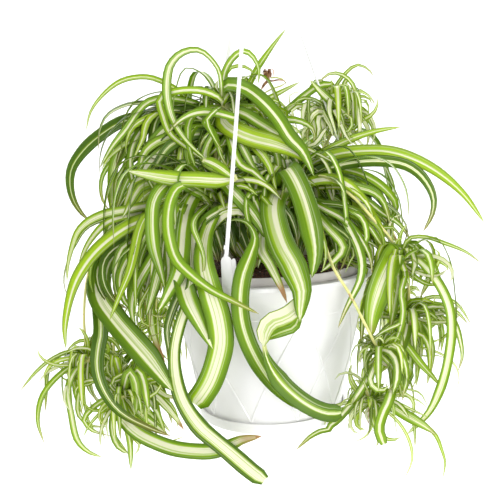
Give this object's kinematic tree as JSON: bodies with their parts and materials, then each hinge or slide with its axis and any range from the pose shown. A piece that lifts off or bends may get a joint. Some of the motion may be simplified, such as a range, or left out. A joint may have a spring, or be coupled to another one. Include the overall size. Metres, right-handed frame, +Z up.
{
  "type": "potted spider plant in a hanging pot",
  "caption": "White hanging pot with a diamond lattice, drip saucer, strand hanger and hook, planted with a striped spider plant whose leaves and plantlets hang over the rim.",
  "frame": {"origin": "the bearing point inside the hook, where it hangs on a rail, nail or ceiling hook", "axes": "+Z up along the pot's axis, -Y towards the side seen in the picture, +X to that view's right"},
  "size_m": [0.4821, 0.3398, 0.5874],
  "materials": {
    "white_plastic": "satin moulded plastic",
    "inner_plastic": "thin dull plastic",
    "soil": "damp peat with bark and a few white grains",
    "leaf": "smooth leaf, cream stripe along the middle",
    "plantlet": "smooth young leaf, cream stripe along the middle",
    "dry": "dry and crumpled"
  },
  "bodies": {
    "root": {"pot": "white_plastic", "nursery_pot": "inner_plastic", "saucer": "white_plastic", "soil": "soil", "hanger_hook": "white_plastic", "hanger_strand_front": "white_plastic", "hanger_strand_right": "white_plastic", "hanger_strand_back": "white_plastic", "mother_plant": "leaf", "dry_flower": "dry", "plantlet_top_right": "plantlet", "plantlet_right_upper": "plantlet", "plantlet_right_mid": "plantlet", "plantlet_right_low": "plantlet", "plantlet_lower_right": "plantlet", "plantlet_left": "plantlet", "plantlet_left_low": "plantlet", "plantlet_rear_left": "plantlet", "plantlet_rear_mid": "plantlet", "plantlet_rear_right": "plantlet"}
  },
  "joints": []
}
